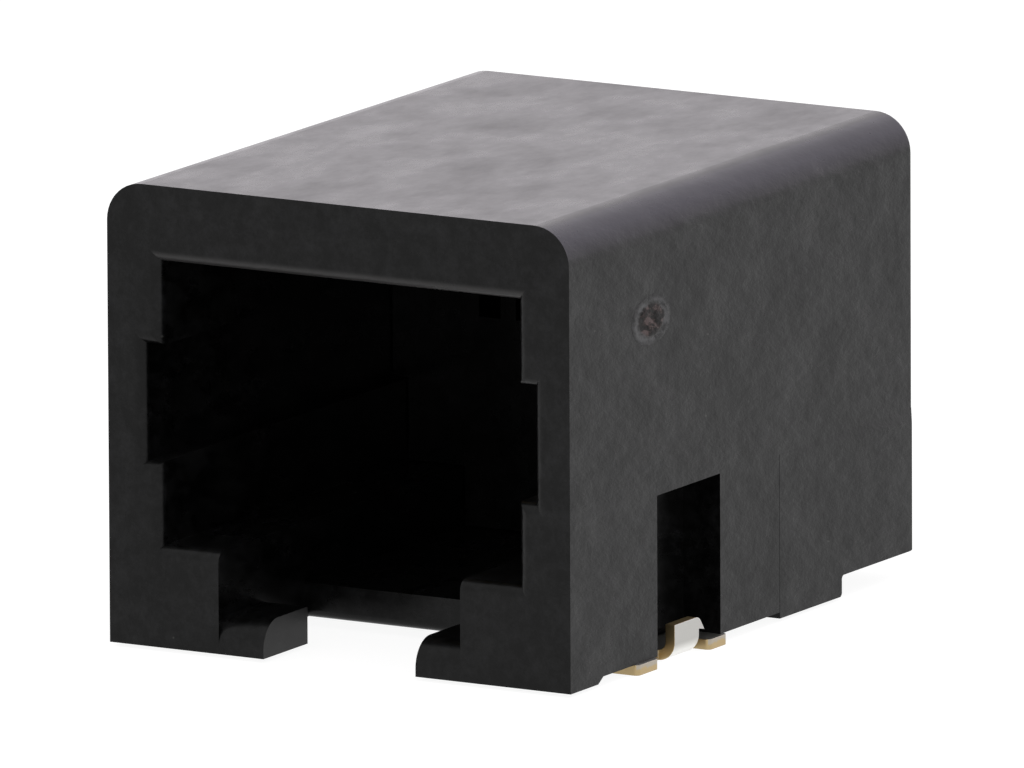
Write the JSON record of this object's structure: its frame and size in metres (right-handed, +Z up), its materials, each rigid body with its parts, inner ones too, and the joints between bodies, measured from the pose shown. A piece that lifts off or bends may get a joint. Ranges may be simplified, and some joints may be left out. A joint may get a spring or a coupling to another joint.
{
  "type": "modular jack",
  "caption": "Right-angle surface-mount modular jack with a stepped plug cavity, latch slot, spring contacts and side hold-down tabs.",
  "frame": {"origin": "middle of the footprint on the board plane: centre of the width, half way from the front face to the tips of the solder tails, at the bottom of the solder feet", "axes": "+X to the right seen from the front, +Y from the plug opening towards the solder tails, +Z up from the board"},
  "size_m": [0.0128, 0.0172, 0.0112],
  "materials": {
    "housing_plastic": "fine matte moulded, glass-filled",
    "insert_plastic": "fine matte moulded",
    "contact_plating": "gold plated",
    "tab_plating": "tin plated strip with bare cut edges"
  },
  "bodies": {
    "root": {"housing": "housing_plastic", "contact_insert": "insert_plastic", "contact_1": "contact_plating", "contact_2": "contact_plating", "contact_3": "contact_plating", "contact_4": "contact_plating", "contact_5": "contact_plating", "contact_6": "contact_plating", "solder_tab_left": "tab_plating", "solder_tab_right": "tab_plating"}
  },
  "joints": []
}
